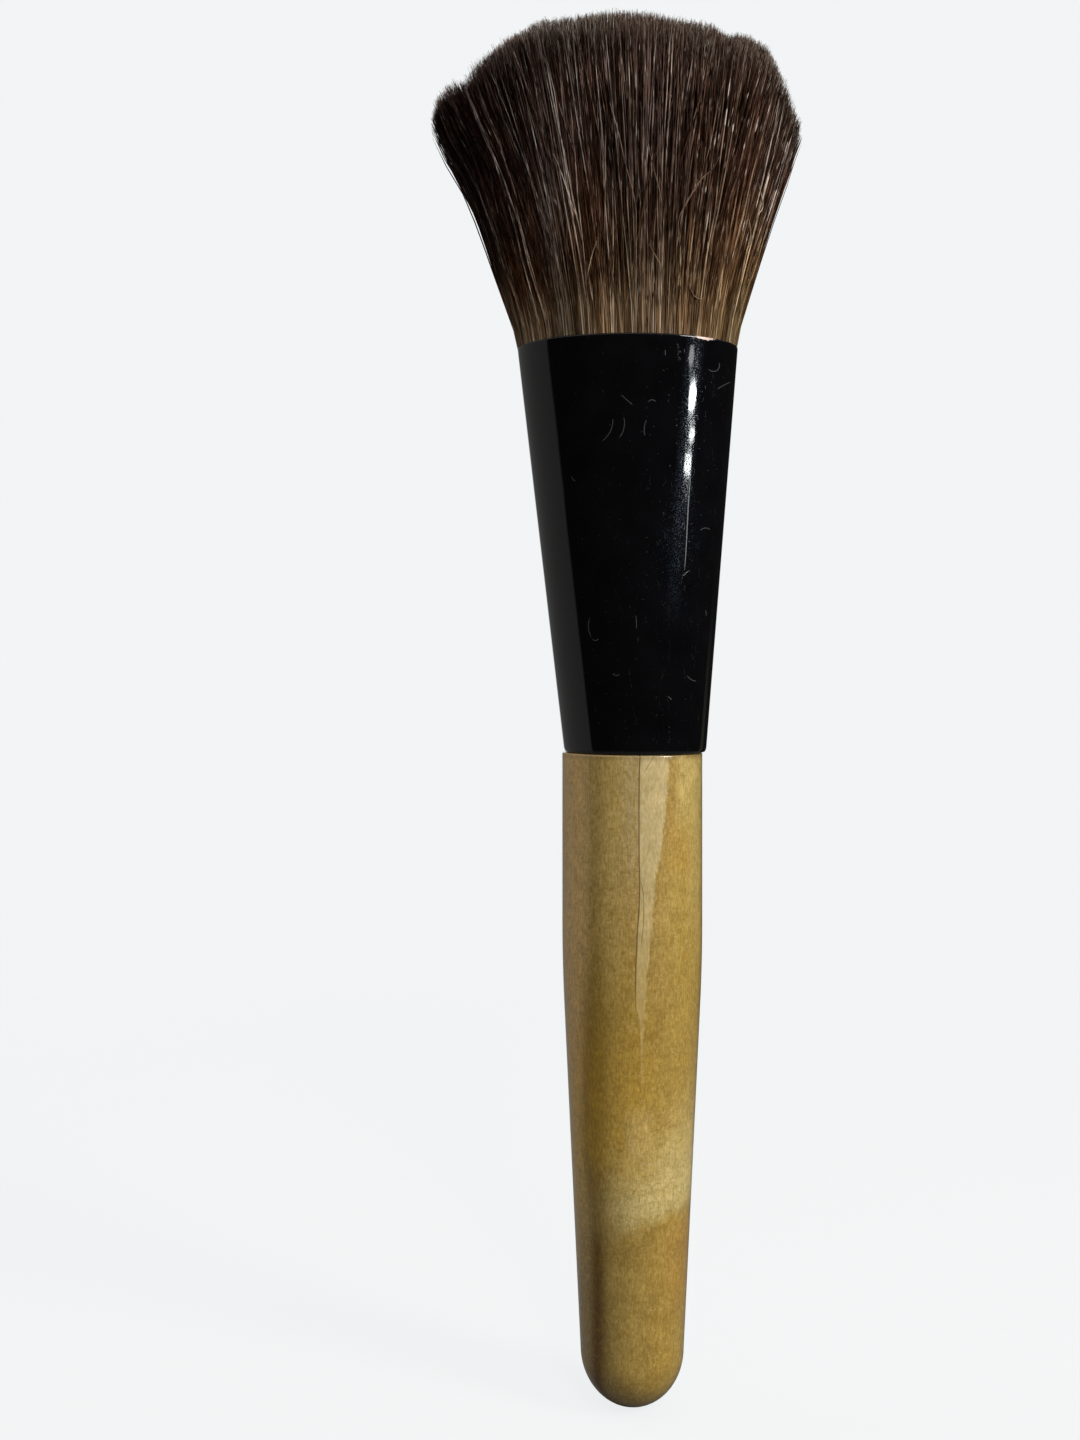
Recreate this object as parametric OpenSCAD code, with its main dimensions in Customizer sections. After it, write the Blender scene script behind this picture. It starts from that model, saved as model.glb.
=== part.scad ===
// Make-up brush with a turned wooden handle, a pressed oval ferrule and a flared hair tuft.
// Millimetres. +Z runs up the handle towards the hair, +X along the ferrule's wide side.
// The origin is on the handle's axis, in the middle of the parallel grip under the ferrule.

/* [Handle] */
// Diameter of the parallel grip under the ferrule
grip_d = 16.8; // [14:0.1:20]
// Length of the parallel grip
grip_length = 25; // [16:0.5:40]
// Length of the straight taper below the grip
taper_length = 46.3; // [30:0.1:90]
// Diameter where the taper ends and the rounded butt begins
butt_d = 12.35; // [9:0.05:13.5]
// Height of the rounded butt
butt_height = 6.8; // [4:0.1:10]
// Radius that breaks the edge of the shoulder under the ferrule
shoulder_edge = 0.25; // [0.1:0.05:0.6]

/* [Tenon] */
// Length of the tenon that goes up into the ferrule
tenon_length = 20; // [12:0.5:26]
// Gap between the tenon and the ferrule's wall at the foot, with both centred
tenon_play = 0.6; // [0.5:0.05:1.2]
// Chamfer on the end of the tenon
tenon_chamfer = 0.8; // [0.3:0.1:1.5]
// Depth of each glue groove turned in the tenon
groove_depth = 0.4; // [0.2:0.05:1]
// Width of each glue groove
groove_width = 1.2; // [0.6:0.1:1.8]
// Number of glue grooves
groove_count = 4; // [1:1:4]

/* [Ferrule] */
// Length of the ferrule from foot to mouth
ferrule_length = 48.2; // [42:0.1:60]
// Thickness of the ferrule's sheet metal
ferrule_wall = 0.45; // [0.3:0.05:0.6]
// How far the round foot stands proud of the grip all round
foot_proud = 0.1; // [0:0.05:0.4]
// How far the foot is glued off the handle's axis, to the right
foot_shift = 0.35; // [0:0.05:0.4]
// Height of the inward roll at the foot
foot_roll_height = 0.6; // [0.3:0.05:1]
// Width of the oval mouth, outside
mouth_width = 26.4; // [22:0.1:32]
// Depth of the oval mouth, outside
mouth_depth = 19.6; // [18:0.1:22]
// How far the mouth's centre lies from the handle's axis, negative to the left
mouth_shift = -0.55; // [-1:0.05:0.5]
// Glue line between the ferrule's foot and the handle's shoulder
seat_gap = 0.05; // [0.02:0.01:0.2]

/* [Hair] */
// Height of the top of the dome over the ferrule's mouth
tuft_height = 37.9; // [32:0.1:50]
// Height of the outermost tips over the ferrule's mouth
side_height = 26.6; // [20:0.1:30]
// Width of the tuft across its outermost tips
tuft_width = 43.8; // [30:0.1:56]
// Depth of the tuft across its outermost tips
tuft_depth = 34.6; // [24:0.1:44]
// How far the tips are swept from the handle's axis, negative to the left
tuft_shift = -2; // [-4:0.1:2]
// How much higher the right shoulder of the dome stands than the left one
shoulder_rise = 1.6; // [0:0.1:3]
// Unevenness of the tips, up or down
tip_scatter = 0.7; // [0:0.1:1.2]
// Depth of the hair's roots below the ferrule's mouth
root_depth = 9; // [6:0.5:14]
// Thickness of the slice of glued roots that the strands stand on
slice_thickness = 2.4; // [1.5:0.1:4]
// Gap between the hair and the ferrule's wall
hair_gap = 0.3; // [0.2:0.05:0.6]
// Rings of strands round the middle of the tuft
hair_rings = 10; // [10:1:12]

/* [Binding and glue] */
// Thickness of the thread bound round the roots
thread_d = 0.6; // [0.4:0.05:1]
// Number of turns of the thread
thread_turns = 4; // [2:1:5]
// Height of the resin plug under the roots
resin_height = 8; // [4:0.5:12]
// Height of the glue sleeve's lower edge over the shoulder
glue_start = 2; // [0.5:0.1:4]
// How far the glue sleeve stops below the tenon's end
glue_stop = 3; // [1:0.1:5]
// Gap drawn between glued faces
glue_fit = 0.05; // [0.02:0.01:0.1]

/* [Hidden] */

// Heights along the axis
shoulder_z = grip_length / 2;
taper_end_z = -grip_length / 2 - taper_length;
foot_z = shoulder_z + seat_gap;
mouth_z = foot_z + ferrule_length;
root_z = mouth_z - root_depth;
slice_z = root_z - slice_thickness;

// Radii that follow from the grip
grip_r = grip_d / 2;
butt_r = butt_d / 2;
foot_r = grip_r + foot_proud;
tenon_r = foot_r - ferrule_wall - tenon_play;

// Fineness of the round and oval outlines, and of the small arcs
oval_sides = 72;
band_sides = 48;
butt_steps = 14;
edge_steps = 4;
rim_steps = 6;

// Shares of a strand's visible length where its section changes, and how much of
// its own cell of the tuft the section fills there
middle_share = 0.5;
upper_share = 0.88;
mouth_fill_share = 0.9;
middle_fill_share = 0.9;
upper_fill_share = 0.62;

// Share of the sheet metal's thickness that the foot's edge is rolled in by
foot_share = 0.45;

// Share of the thread's thickness that the hollow between two turns goes in by
hollow_share = 0.25;

// Seed of the uneven tips
tip_seed = 7;

function between(from, to, share) = from + (to - from) * share;

// Half-width, half-depth and centre of the ferrule's outside, h above its foot
function shell_a(h) = between(foot_r, mouth_width / 2, h / ferrule_length);
function shell_b(h) = between(foot_r, mouth_depth / 2, h / ferrule_length);
function shell_x(h) = between(foot_shift, mouth_shift, h / ferrule_length);

// Oval ring of points, h above the foot and inset from the ferrule's outside
function shell_ring(h, inset, sides) = [
    for (i = [0:sides - 1])
        let (turn = 360 * i / sides)
        [shell_x(h) + (shell_a(h) - inset) * cos(turn), (shell_b(h) - inset) * sin(turn), foot_z + h]
];

// Round ring of points on the handle's axis
function round_ring(r, z, sides) = [
    for (i = [0:sides - 1])
        let (turn = 360 * i / sides)
        [r * cos(turn), r * sin(turn), z]
];

// Two triangles between a side of one ring and the same side of the next
function side_faces(low, high, i, j) = [[low + i, high + i, high + j], [low + i, high + j, low + j]];

// Wall between two rings that lie in one list of points
function wall_faces(low, high, sides) = [
    for (i = [0:sides - 1])
        each side_faces(low, high, i, (i + 1) % sides)
];

// A wall that closes on itself: its section's rings run up the outside and down the inside
module hoop(rings) {
    sides = len(rings[0]);
    count = len(rings);
    points = [for (ring = rings) each ring];
    faces = [
        for (r = [0:count - 1])
            each wall_faces(r * sides, ((r + 1) % count) * sides, sides)
    ];
    polyhedron(points, faces);
}

// A solid lofted through rings from the bottom up, with a flat end at each
module loft(rings) {
    sides = len(rings[0]);
    count = len(rings);
    points = [for (ring = rings) each ring];
    top = (count - 1) * sides;
    faces = [
        for (r = [0:count - 2])
            each wall_faces(r * sides, (r + 1) * sides, sides),
        for (i = [1:sides - 2]) [0, i, i + 1],
        for (i = [1:sides - 2]) [top, top + i + 1, top + i]
    ];
    polyhedron(points, faces);
}

// Handle: rounded butt, taper, parallel grip, shoulder, and the tenon with its glue grooves
module handle() {
    groove_pitch = (tenon_length - tenon_chamfer) / (groove_count + 1);
    butt = [
        for (i = [0:butt_steps])
            let (turn = 90 * i / butt_steps)
            [butt_r * sin(turn), taper_end_z - butt_height * cos(turn)]
    ];
    shoulder = [
        for (i = [0:edge_steps])
            let (turn = 90 * i / edge_steps)
            [grip_r - shoulder_edge * (1 - cos(turn)), shoulder_z - shoulder_edge * (1 - sin(turn))]
    ];
    grooves = [
        for (i = [1:groove_count])
            let (z = shoulder_z + i * groove_pitch)
            each [
                [tenon_r, z - groove_width / 2],
                [tenon_r - groove_depth, z - groove_width / 2],
                [tenon_r - groove_depth, z + groove_width / 2],
                [tenon_r, z + groove_width / 2]
            ]
    ];
    tenon_end = [
        [tenon_r, shoulder_z + tenon_length - tenon_chamfer],
        [tenon_r - tenon_chamfer, shoulder_z + tenon_length],
        [0, shoulder_z + tenon_length]
    ];
    color([0.68, 0.55, 0.34])
        rotate_extrude($fn = 96)
            polygon(concat(
                butt,
                [[grip_r, -grip_length / 2]],
                shoulder,
                [[tenon_r, shoulder_z]],
                grooves,
                tenon_end
            ));
}

// Ferrule: sheet-metal shell, round at the foot and oval at the mouth
module ferrule() {
    rim_r = ferrule_wall / 2;
    foot = [
        for (i = [0:edge_steps])
            let (turn = 90 * i / edge_steps)
            let (inset = foot_share * ferrule_wall * (1 - sin(turn)))
            shell_ring(foot_roll_height * (1 - cos(turn)), inset, oval_sides)
    ];
    mouth = [
        for (i = [0:rim_steps])
            let (turn = 180 * i / rim_steps)
            shell_ring(ferrule_length - rim_r * (1 - sin(turn)), rim_r * (1 - cos(turn)), oval_sides)
    ];
    inside = [shell_ring(0, ferrule_wall, oval_sides)];
    color([0.05, 0.05, 0.055])
        hoop(concat(foot, mouth, inside));
}

// The slice's oval is as much smaller than the bore as the thread and the gaps take
slice_inset = ferrule_wall + hair_gap + thread_d + glue_fit;
slice_h = root_z - foot_z;

// Place in the tuft of the point (u, v) of a unit disc: in_bore goes from 0 at the roots
// to 1 at the mouth, and out from 0 at the mouth to 1 at the tips
function bore_point(u, v, in_bore) =
    let (
        h = slice_h + root_depth * in_bore,
        inset = between(slice_inset, ferrule_wall + hair_gap, in_bore)
    )
    [shell_x(h) + (shell_a(h) - inset) * u, (shell_b(h) - inset) * v, foot_z + h];

function dome_height(u, v) =
    let (cap = sqrt(max(0, 1 - u * u - v * v)))
    side_height + (tuft_height - side_height) * cap + shoulder_rise / 2 * u * cap;

// The outermost strands' middles lie a little inside the disc, and carry the outermost tips
outer_middle_share = 1 - 1 / (3 * hair_rings);

function tuft_point(u, v, out) =
    let (
        start = bore_point(u, v, 1),
        tip_u = u / outer_middle_share,
        tip_v = v / outer_middle_share,
        tip = [
            tuft_shift + tuft_width / 2 * tip_u,
            tuft_depth / 2 * tip_v,
            mouth_z + dome_height(tip_u, tip_v)
        ]
    )
    start + (tip - start) * out;

// Corner m of ring k in a disc cut into triangles, as a point of the unit disc
function disc_corner(k, m) =
    k == 0 ? [0, 0] : let (turn = 60 * m / k) [k * cos(turn), k * sin(turn)] / hair_rings;

// Number of corners inside ring k, which is also the place of its first corner in the list
function corners_before(k) = k == 0 ? 0 : 1 + 3 * k * (k - 1);
function corner_index(k, m) = k == 0 ? 0 : corners_before(k) + m % (6 * k);

// Section of a strand in its own cell, drawn in towards the cell's middle
function drawn_in(cell, middle, fill) = [for (p = cell) middle + (p - middle) * fill];

// Points of one strand above its roots: three at the mouth, the middle and the upper part, and the tip
function strand_points(cell, scatter) =
    let (middle = (cell[0] + cell[1] + cell[2]) / 3)
    [
        for (p = drawn_in(cell, middle, mouth_fill_share)) bore_point(p[0], p[1], 1),
        for (p = drawn_in(cell, middle, middle_fill_share)) tuft_point(p[0], p[1], middle_share),
        for (p = drawn_in(cell, middle, upper_fill_share)) tuft_point(p[0], p[1], upper_share),
        tuft_point(middle[0], middle[1], 1 + scatter / tuft_height)
    ];

// Faces of one strand, from the three corners it stands on to its first point in the list
function strand_faces(base, first) = [
    for (i = [0:2])
        let (j = (i + 1) % 3)
        each [[base[i], first + i, first + j], [base[i], first + j, base[j]]],
    for (level = [0:1])
        let (low = first + 3 * level)
        each wall_faces(low, low + 3, 3),
    for (i = [0:2]) [first + 6 + i, first + 9, first + 6 + (i + 1) % 3]
];

// Tuft: strands of three sides on every outward cell of the slice's top face, in one closed mesh
module hair_tuft() {
    strand_corners = 10;
    rim = 6 * hair_rings;
    roots = [
        for (k = [0:hair_rings])
            for (m = [0:max(0, 6 * k - 1)])
                let (p = disc_corner(k, m))
                bore_point(p[0], p[1], 0)
    ];
    underside = [
        for (m = [0:rim - 1])
            let (p = disc_corner(hair_rings, m), top = bore_point(p[0], p[1], 0))
            [top[0], top[1], slice_z]
    ];
    // Each outward cell: two corners on ring k and one on the ring inside it
    cells = [
        for (k = [1:hair_rings])
            for (m = [0:6 * k - 1])
                let (sector = floor(m / k))
                [[k, m], [k, m + 1], [k - 1, m - sector]]
    ];
    strand_count = len(cells);
    scatter = rands(-1, 1, strand_count, tip_seed);
    strands = [
        for (i = [0:strand_count - 1])
            each strand_points([for (c = cells[i]) disc_corner(c[0], c[1])], tip_scatter * scatter[i])
    ];
    under_first = len(roots);
    under_middle = under_first + rim;
    strand_first = under_middle + 1;
    rim_first = corners_before(hair_rings);
    strand_sides = [
        for (i = [0:strand_count - 1])
            each strand_faces([for (c = cells[i]) corner_index(c[0], c[1])], strand_first + strand_corners * i)
    ];
    // Flat cells between the strands: two corners on the inner ring and one on ring k
    bare_cells = [
        for (k = [2:hair_rings])
            for (sector = [0:5])
                for (j = [0:k - 2])
                    let (inner = sector * (k - 1) + j)
                    [corner_index(k - 1, inner), corner_index(k - 1, inner + 1), corner_index(k, sector * k + j + 1)]
    ];
    slice_sides = [
        for (m = [0:rim - 1])
            let (n = (m + 1) % rim)
            each [
                [under_first + m, rim_first + m, rim_first + n],
                [under_first + m, rim_first + n, under_first + n],
                [under_middle, under_first + m, under_first + n]
            ]
    ];
    color([0.25, 0.19, 0.15])
        polyhedron(
            concat(roots, underside, [[shell_x(slice_h), 0, slice_z]], strands),
            concat(strand_sides, bare_cells, slice_sides)
        );
}

// Binding: turns of thread lying one on the other round the slice
module root_binding() {
    pitch = slice_thickness / thread_turns;
    outer = slice_inset - glue_fit - thread_d;
    hollow = hollow_share * thread_d;
    bulges = [
        for (i = [0:2 * thread_turns])
            binding_ring(slice_z + pitch * i / 2, outer + (i % 2 == 0 ? hollow : 0))
    ];
    inside = [
        binding_ring(root_z, slice_inset - glue_fit),
        binding_ring(slice_z, slice_inset - glue_fit)
    ];
    color([0.8, 0.77, 0.7])
        hoop(concat(bulges, inside));
}

// Oval ring at any height, concentric with the slice
function binding_ring(z, inset) = [for (p = shell_ring(slice_h, inset, band_sides)) [p[0], p[1], z]];

// Resin poured in under the roots
module resin_plug() {
    top = slice_z - glue_fit - foot_z;
    inset = ferrule_wall + glue_fit;
    color([0.72, 0.6, 0.3, 0.8])
        loft([shell_ring(top - resin_height, inset, oval_sides), shell_ring(top, inset, oval_sides)]);
}

// Glue that fills the space between the tenon and the ferrule
module handle_glue() {
    low = glue_start - seat_gap;
    high = tenon_length - glue_stop - seat_gap;
    outer = ferrule_wall + glue_fit;
    inner = tenon_r + glue_fit;
    color([0.85, 0.82, 0.72])
        hoop([
            shell_ring(low, outer, oval_sides),
            shell_ring(high, outer, oval_sides),
            round_ring(inner, foot_z + high, oval_sides),
            round_ring(inner, foot_z + low, oval_sides)
        ]);
}

handle();
ferrule();
hair_tuft();
root_binding();
resin_plug();
handle_glue();
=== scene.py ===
"""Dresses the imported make-up brush: lacquered wood, black enamel and natural hair, in a soft studio."""
import functools
import itertools
import math

import bpy
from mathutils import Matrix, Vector


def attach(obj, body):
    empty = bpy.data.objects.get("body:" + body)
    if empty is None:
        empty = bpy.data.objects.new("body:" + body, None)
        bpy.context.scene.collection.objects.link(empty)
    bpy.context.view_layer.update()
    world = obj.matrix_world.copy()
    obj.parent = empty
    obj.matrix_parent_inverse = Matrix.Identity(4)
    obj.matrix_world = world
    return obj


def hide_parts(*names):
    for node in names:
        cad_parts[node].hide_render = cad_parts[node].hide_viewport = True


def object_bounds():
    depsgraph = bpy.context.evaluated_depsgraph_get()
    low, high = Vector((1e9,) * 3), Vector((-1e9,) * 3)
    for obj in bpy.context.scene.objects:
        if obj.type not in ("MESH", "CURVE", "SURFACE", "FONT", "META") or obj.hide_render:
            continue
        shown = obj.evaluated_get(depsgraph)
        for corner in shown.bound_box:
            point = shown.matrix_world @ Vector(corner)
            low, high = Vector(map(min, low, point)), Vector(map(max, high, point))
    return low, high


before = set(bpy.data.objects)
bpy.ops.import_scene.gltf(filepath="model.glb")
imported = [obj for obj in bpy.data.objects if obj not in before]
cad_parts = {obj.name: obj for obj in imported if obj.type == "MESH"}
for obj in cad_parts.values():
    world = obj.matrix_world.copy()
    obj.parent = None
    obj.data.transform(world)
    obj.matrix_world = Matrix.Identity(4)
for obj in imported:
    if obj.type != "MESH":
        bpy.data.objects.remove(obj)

cad_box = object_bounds()

MM = 0.001
FULL_TURN = 2 * math.pi

# The made sizes, in millimetres, as the part's source has them
GRIP_D, GRIP_LENGTH = 16.8, 25.0
TAPER_LENGTH = 46.3
BUTT_D, BUTT_HEIGHT = 12.35, 6.8
SHOULDER_EDGE = 0.25
TENON_LENGTH, TENON_PLAY, TENON_CHAMFER = 20.0, 0.6, 0.8
GROOVE_DEPTH, GROOVE_WIDTH, GROOVE_COUNT = 0.4, 1.2, 4
FERRULE_LENGTH, FERRULE_WALL = 48.2, 0.45
FOOT_PROUD, FOOT_SHIFT, FOOT_ROLL, FOOT_SHARE = 0.1, 0.35, 0.6, 0.45
MOUTH_WIDTH, MOUTH_DEPTH, MOUTH_SHIFT = 26.4, 19.6, -0.55
SEAT_GAP = 0.05
TUFT_WIDTH, TUFT_DEPTH, TUFT_SHIFT, SIDE_HEIGHT = 43.8, 34.6, -2.0, 26.6

SHOULDER_Z = GRIP_LENGTH / 2
TAPER_END_Z = -SHOULDER_Z - TAPER_LENGTH
BUTT_Z = TAPER_END_Z - BUTT_HEIGHT
FOOT_Z = SHOULDER_Z + SEAT_GAP
MOUTH_Z = FOOT_Z + FERRULE_LENGTH
GRIP_R, BUTT_R = GRIP_D / 2, BUTT_D / 2
FOOT_R = GRIP_R + FOOT_PROUD
TENON_R = FOOT_R - FERRULE_WALL - TENON_PLAY


# Wiring of node trees


class Value:
    """A node's output. Each sum that is made with it adds a Math node."""

    def __init__(self, wiring, socket):
        self.wiring = wiring
        self.socket = socket

    def __add__(self, other):
        return self.wiring.calc("ADD", self, other)

    def __sub__(self, other):
        return self.wiring.calc("SUBTRACT", self, other)

    def __rsub__(self, other):
        return self.wiring.calc("SUBTRACT", other, self)

    def __mul__(self, other):
        return self.wiring.calc("MULTIPLY", self, other)

    def __truediv__(self, other):
        return self.wiring.calc("DIVIDE", self, other)

    def __pow__(self, other):
        return self.wiring.calc("POWER", self, other)

    def __neg__(self):
        return self.wiring.calc("MULTIPLY", self, -1.0)

    def __abs__(self):
        return self.wiring.calc("ABSOLUTE", self)


class Wiring:
    """Adds nodes to one tree. Inputs are given by name or place, as numbers or as values."""

    def __init__(self, tree):
        self.tree = tree

    def fill(self, node, inputs):
        for key, value in inputs.items():
            if isinstance(value, Value):
                self.tree.links.new(value.socket, node.inputs[key])
            else:
                node.inputs[key].default_value = value

    def add(self, kind, inputs=None, **settings):
        """A new node."""
        node = self.tree.nodes.new(kind)
        for name, value in settings.items():
            setattr(node, name, value)
        self.fill(node, inputs or {})
        return node

    def get(self, kind, inputs=None, output=0, **settings):
        """One output of a new node, by name or place."""
        return Value(self, self.add(kind, inputs, **settings).outputs[output])

    def outputs(self, kind, inputs=None, **settings):
        """All outputs of a new node, by name."""
        return {socket.name: Value(self, socket) for socket in self.add(kind, inputs, **settings).outputs}

    def calc(self, operation, *values):
        return self.get("ShaderNodeMath", dict(enumerate(values)), operation=operation)

    def most(self, *values):
        """The greatest of two or more."""
        return functools.reduce(lambda a, b: self.calc("MAXIMUM", a, b), values)

    def least(self, a, b):
        return self.calc("MINIMUM", a, b)

    def vector(self, operation, *values):
        output = "Value" if operation in ("LENGTH", "DOT_PRODUCT") else "Vector"
        return self.get("ShaderNodeVectorMath", dict(enumerate(values)), output, operation=operation)

    def upright(self, place, share):
        """The place with its height shrunk, which draws a pattern out upright."""
        return self.vector("MULTIPLY", place, (1.0, 1.0, share))

    def scaled(self, vector, scale):
        return self.get("ShaderNodeVectorMath", {0: vector, "Scale": scale}, operation="SCALE")

    def joined(self, x=0.0, y=0.0, z=0.0):
        return self.get("ShaderNodeCombineXYZ", {0: x, 1: y, 2: z})

    def parts(self, vector):
        return list(self.outputs("ShaderNodeSeparateXYZ", {0: vector}).values())

    def between(self, share, low, high):
        return self.get("ShaderNodeMix", {0: share, 2: low, 3: high}, data_type="FLOAT")

    def blend(self, share, low, high, mode="MIX"):
        """A mix of colours. A level stands for a grey."""
        low, high = ((*colour, 1) if isinstance(colour, tuple) else colour for colour in (low, high))
        return self.get("ShaderNodeMix", {0: share, 6: low, 7: high}, 2, data_type="RGBA", blend_type=mode)

    def rise(self, value, start, end, low=0.0, high=1.0, style="SMOOTHSTEP"):
        places = {0: value, 1: start, 2: end, 3: low, 4: high}
        return self.get("ShaderNodeMapRange", places, interpolation_type=style)

    def noise(self, place, scale, detail=2.0, roughness=0.5, distortion=0.0, output=0):
        inputs = {"Vector": place, "Scale": scale, "Detail": detail, "Roughness": roughness}
        return self.get("ShaderNodeTexNoise", {**inputs, "Distortion": distortion}, output)

    def attribute(self, name):
        return self.get("ShaderNodeAttribute", output="Fac", attribute_name=name)

    def bump(self, height, strength, distance):
        """Normals bent by a height, with the distance in millimetres."""
        inputs = {"Height": height, "Strength": strength, "Distance": distance * MM}
        return self.get("ShaderNodeBump", inputs)

    def follow(self, value, points):
        """A drawn curve through points (in, out) of any range."""
        ins, outs = [p[0] for p in points], [p[1] for p in points]
        low, high = min(ins), max(ins)
        floor, top = min(outs), max(outs)
        node = self.add("ShaderNodeFloatCurve", {"Value": self.rise(value, low, high, style="LINEAR")})
        drawn = node.mapping.curves[0].points
        places = [((i - low) / (high - low), (o - floor) / (top - floor)) for i, o in sorted(points)]
        drawn[0].location, drawn[-1].location = places[0], places[-1]
        for place in places[1:-1]:
            drawn.new(*place)
        for point in drawn:
            point.handle_type = "AUTO"
        node.mapping.update()
        return Value(self, node.outputs[0]) * (top - floor) + floor


def finish_material(name):
    """A material with a Principled shader, and the wiring and shader to work on it."""
    material = bpy.data.materials.new(name)
    material.use_nodes = True
    return material, Wiring(material.node_tree), material.node_tree.nodes["Principled BSDF"]


def place_in_mm(wiring):
    """Place on the piece in millimetres."""
    return wiring.scaled(wiring.get("ShaderNodeTexCoord", output="Object"), 1 / MM)


def placed(name, data):
    """A new object in the scene."""
    piece = bpy.data.objects.new(name, data)
    bpy.context.scene.collection.objects.link(piece)
    return piece


# Lacquered wood

# The open grain line and the pale wedge beside it, on the front of the handle: (height, place across)
CRACK = [(-27.0, 0.62), (-24.5, 0.5), (-20.2, 0.46), (-17.3, 0.19), (-15.4, -0.09), (-8.5, 0.08),
         (-1.9, 0.37), (1.0, 0.31), (8.0, 0.31), (13.0, 0.46)]
WEDGE = [(-27.0, 0.86), (-24.5, 0.84), (-22.1, 0.84), (-18.2, 1.0), (-14.4, 1.25), (-11.4, 1.4),
         (-8.6, 1.75), (-5.7, 2.0), (-1.9, 2.28), (3.5, 3.27), (7.9, 3.57), (13.0, 3.76)]
SIDE_CRACK = [(-10.0, 0.42), (-9.0, 0.58), (-4.7, 0.84), (-2.1, 0.54), (-1.0, 0.36)]


def broad_figure(w, place, swirl):
    """Tan above and on the left, golden on the right and deeper gold below. A painted reflection lightens
    the left flank, and painted shade darkens its lowest part.
    """
    x, y, z = w.parts(place)
    drift = w.noise(w.upright(place, 0.22), 0.16, 2.0)
    golden = w.rise(x + (drift - 0.5) * 9.0, 0.5, 4.0)
    upper = w.blend(golden, (0.53, 0.36, 0.115), (0.54, 0.365, 0.086))
    lower = w.blend(golden, (0.44, 0.275, 0.047), (0.51, 0.325, 0.055))
    height = z + (swirl - 0.5) * 14.0
    colour = w.blend(w.rise(height, 6.0, -24.0), upper, lower)
    # Painted reflection of a pale wall on the left: the left flank is lighter, most of all higher up
    left_reflection = w.rise(x, -5.0, -6.7) * w.rise(y, 3.0, 0.0)
    left_reflection_colour = w.blend(w.rise(z, -18.0, -36.0), (0.76, 0.46, 0.12), (0.78, 0.46, 0.06))
    colour = w.blend(left_reflection * w.rise(z, -54.0, -30.0, 0.3, 0.9), colour, left_reflection_colour)
    # Painted shade: darker at the lower left edge of the handle
    dim = w.rise(z * 0.1 + x, -6.8, -9.6) * w.rise(z, -36.0, -52.0)
    return w.blend(dim * 0.35, colour, (0.16, 0.09, 0.012))


def shade_banded(w, colour, place, front, crack_x):
    """Adds a painted shade band, dark low on the left of the front, and the patches above it. Returns the
    band too.
    """
    x, y, z = w.parts(place)
    inward = x - w.rise(z, -32.0, -44.0, 0.0, 1.0)
    # Painted shade: a dark band down the left of the front, stronger and darker further down
    shade_band = w.rise(x, -2.8, -4.4) * w.rise(inward, -6.7, -5.4) * front * w.rise(z, -6.0, -27.0, 0.05, 0.97)
    colour = w.blend(shade_band, colour, w.blend(w.rise(z, -40.0, -56.0), (0.2, 0.1, 0.0), (0.14, 0.062, 0.0)))
    milky = w.rise(x, -2.6, -0.6) * w.rise(x - crack_x, 0.02, -0.02) * front
    colour = w.blend(milky * w.rise(z, -8.0, 8.0, 0.0, 0.35), colour, (0.6, 0.49, 0.28))
    # Orange high on the right, straw-coloured beyond it, and lighter left of the middle
    orange = w.rise(x, 2.6, 4.4) * w.rise(z, -3.5, 0.5) * w.rise(z, 8.0, 3.5)
    colour = w.blend(orange * front * 0.4, colour, (0.58, 0.34, 0.05))
    straw = w.most(w.rise(x, 4.2, 5.6) * w.rise(z, 0.0, 8.0), w.rise(x, 5.6, 7.2))
    straw = straw * w.rise(z, -16.0, 2.0) * w.rise(y, 3.0, -1.0)
    straw_colour = w.blend(w.rise(z, 2.0, 9.0), (0.61, 0.445, 0.135), (0.67, 0.5, 0.165))
    colour = w.blend(straw * 0.85, colour, straw_colour)
    lighter = w.rise(x, -4.7, -3.4) * w.rise(x, -0.8, -2.4) * w.rise(z, -20.0, -10.0)
    return w.blend(lighter * front * 0.27, colour, (0.78, 0.57, 0.17)), shade_band


def wedged(w, colour, place, front, crack_x):
    """Adds the pale wedge, with a mottled edge on its right. Returns its share too."""
    x, _, z = w.parts(place)
    wedge_x = w.follow(z, WEDGE)
    mottle = w.noise(w.upright(place, 0.5), 1.8, 3.0, 0.6)
    ragged = mottle - 0.5 + (wedge_x - x)
    wedge = w.rise(x - crack_x, -0.02, 0.1) * w.rise(ragged, -0.12, 0.22) * w.rise(z, -27.0, -23.5) * front
    pale = w.blend(w.rise(z, -16.0, 2.0), (0.67, 0.49, 0.19), (0.7, 0.545, 0.26))
    deep_edge = w.rise(ragged, -1.6, -0.15) * w.rise(ragged, 0.0, -0.12) * front * w.rise(z, -14.0, -4.0)
    colour = w.blend(deep_edge * 0.5, colour, (0.44, 0.25, 0.045))
    return w.blend(wedge, colour, pale), wedge


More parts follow.
